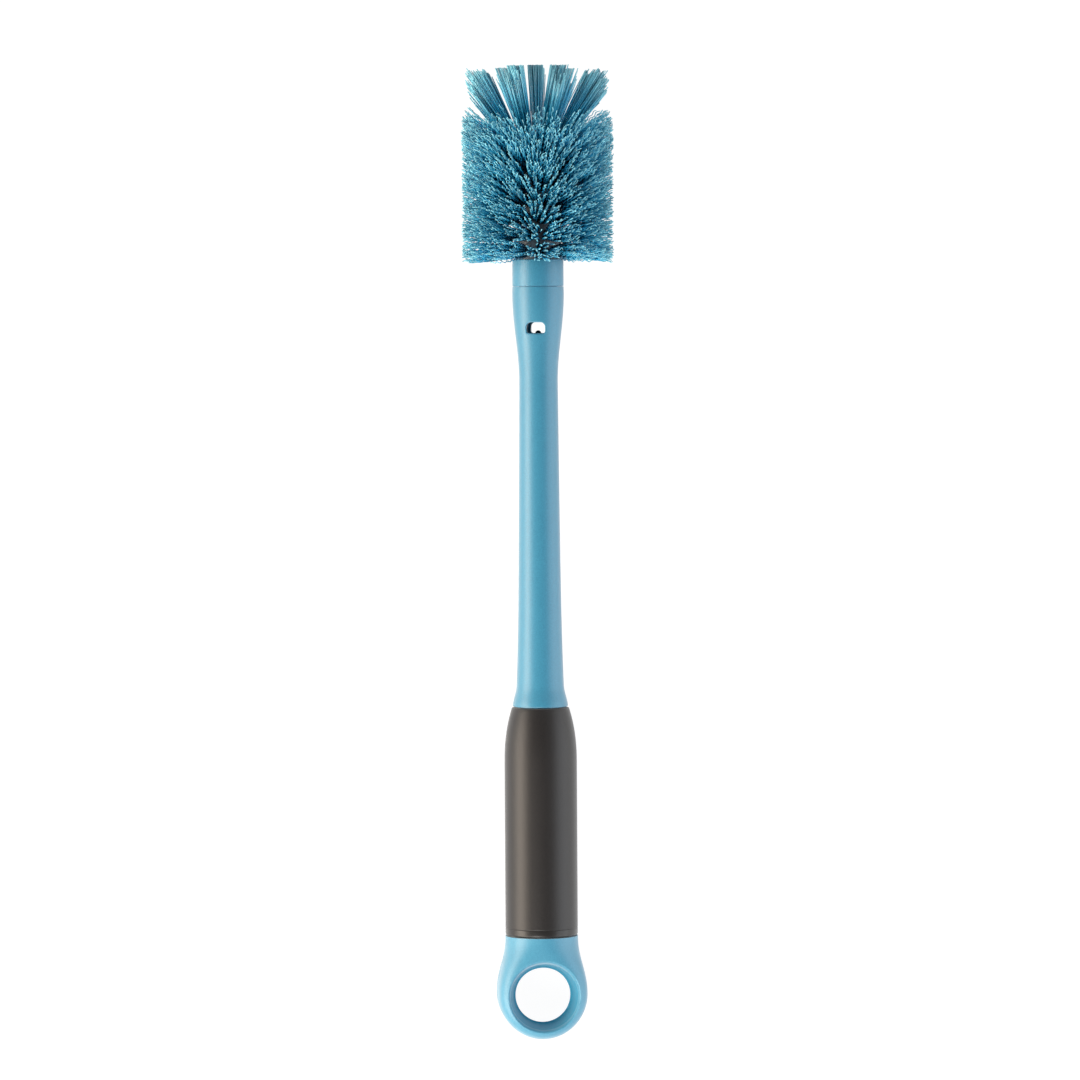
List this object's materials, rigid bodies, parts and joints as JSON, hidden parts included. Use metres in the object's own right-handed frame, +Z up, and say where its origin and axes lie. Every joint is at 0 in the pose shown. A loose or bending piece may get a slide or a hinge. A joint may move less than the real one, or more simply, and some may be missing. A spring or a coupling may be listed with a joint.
{
  "type": "bottle brush",
  "caption": "Bottle brush with a tufted head, hollow moulded handle, soft grip and a hanging-loop cap that pulls out with a slim straw brush.",
  "frame": {"origin": "on the table under the middle of the brush, which lies on the flat land of its hanging loop and on the lowest bristles of its head", "axes": "+Y along the brush towards the bristle head, its axis rising 3.2 degrees to the head; +Z up, out of the loop's upper face; +X to the right seen with the head at the top"},
  "size_m": [0.0543, 0.3503, 0.0569],
  "materials": {
    "blue_plastic": "satin moulded plastic with a very fine grain",
    "grip_rubber": "soft-touch matte elastomer with a fine grain",
    "bristle_nylon": "translucent nylon filament",
    "seal_rubber": "smooth rubber",
    "stem_wire": "bright stainless wire",
    "tip_plastic": "smooth dark plastic"
  },
  "bodies": {
    "straw_brush": {"loop_cap": "blue_plastic", "straw_brush_stem": "stem_wire", "straw_brush_bristles": "bristle_nylon", "straw_brush_tip": "tip_plastic"},
    "seal_ring": {"seal_ring": "seal_rubber"},
    "handle": {"shaft": "blue_plastic", "grip": "grip_rubber", "head_core": "blue_plastic", "bristle_row_1": "bristle_nylon", "bristle_row_2": "bristle_nylon", "bristle_row_3": "bristle_nylon", "bristle_row_4": "bristle_nylon", "bristle_row_5": "bristle_nylon", "bristle_row_6": "bristle_nylon", "bristle_row_7": "bristle_nylon", "crown_bristles": "bristle_nylon"}
  },
  "joints": [
    {"name": "cap_twist", "type": "hinge", "parent": "straw_brush", "child": "seal_ring", "pos_m": [0, -0.12573, 0.01398], "axis": [0, 0.9984, 0.0561], "continuous": true},
    {"name": "handle_pull_off", "type": "slide", "parent": "seal_ring", "child": "handle", "axis": [0, 0.9984, 0.0561], "range_m": [0, 0.235]}
  ]
}
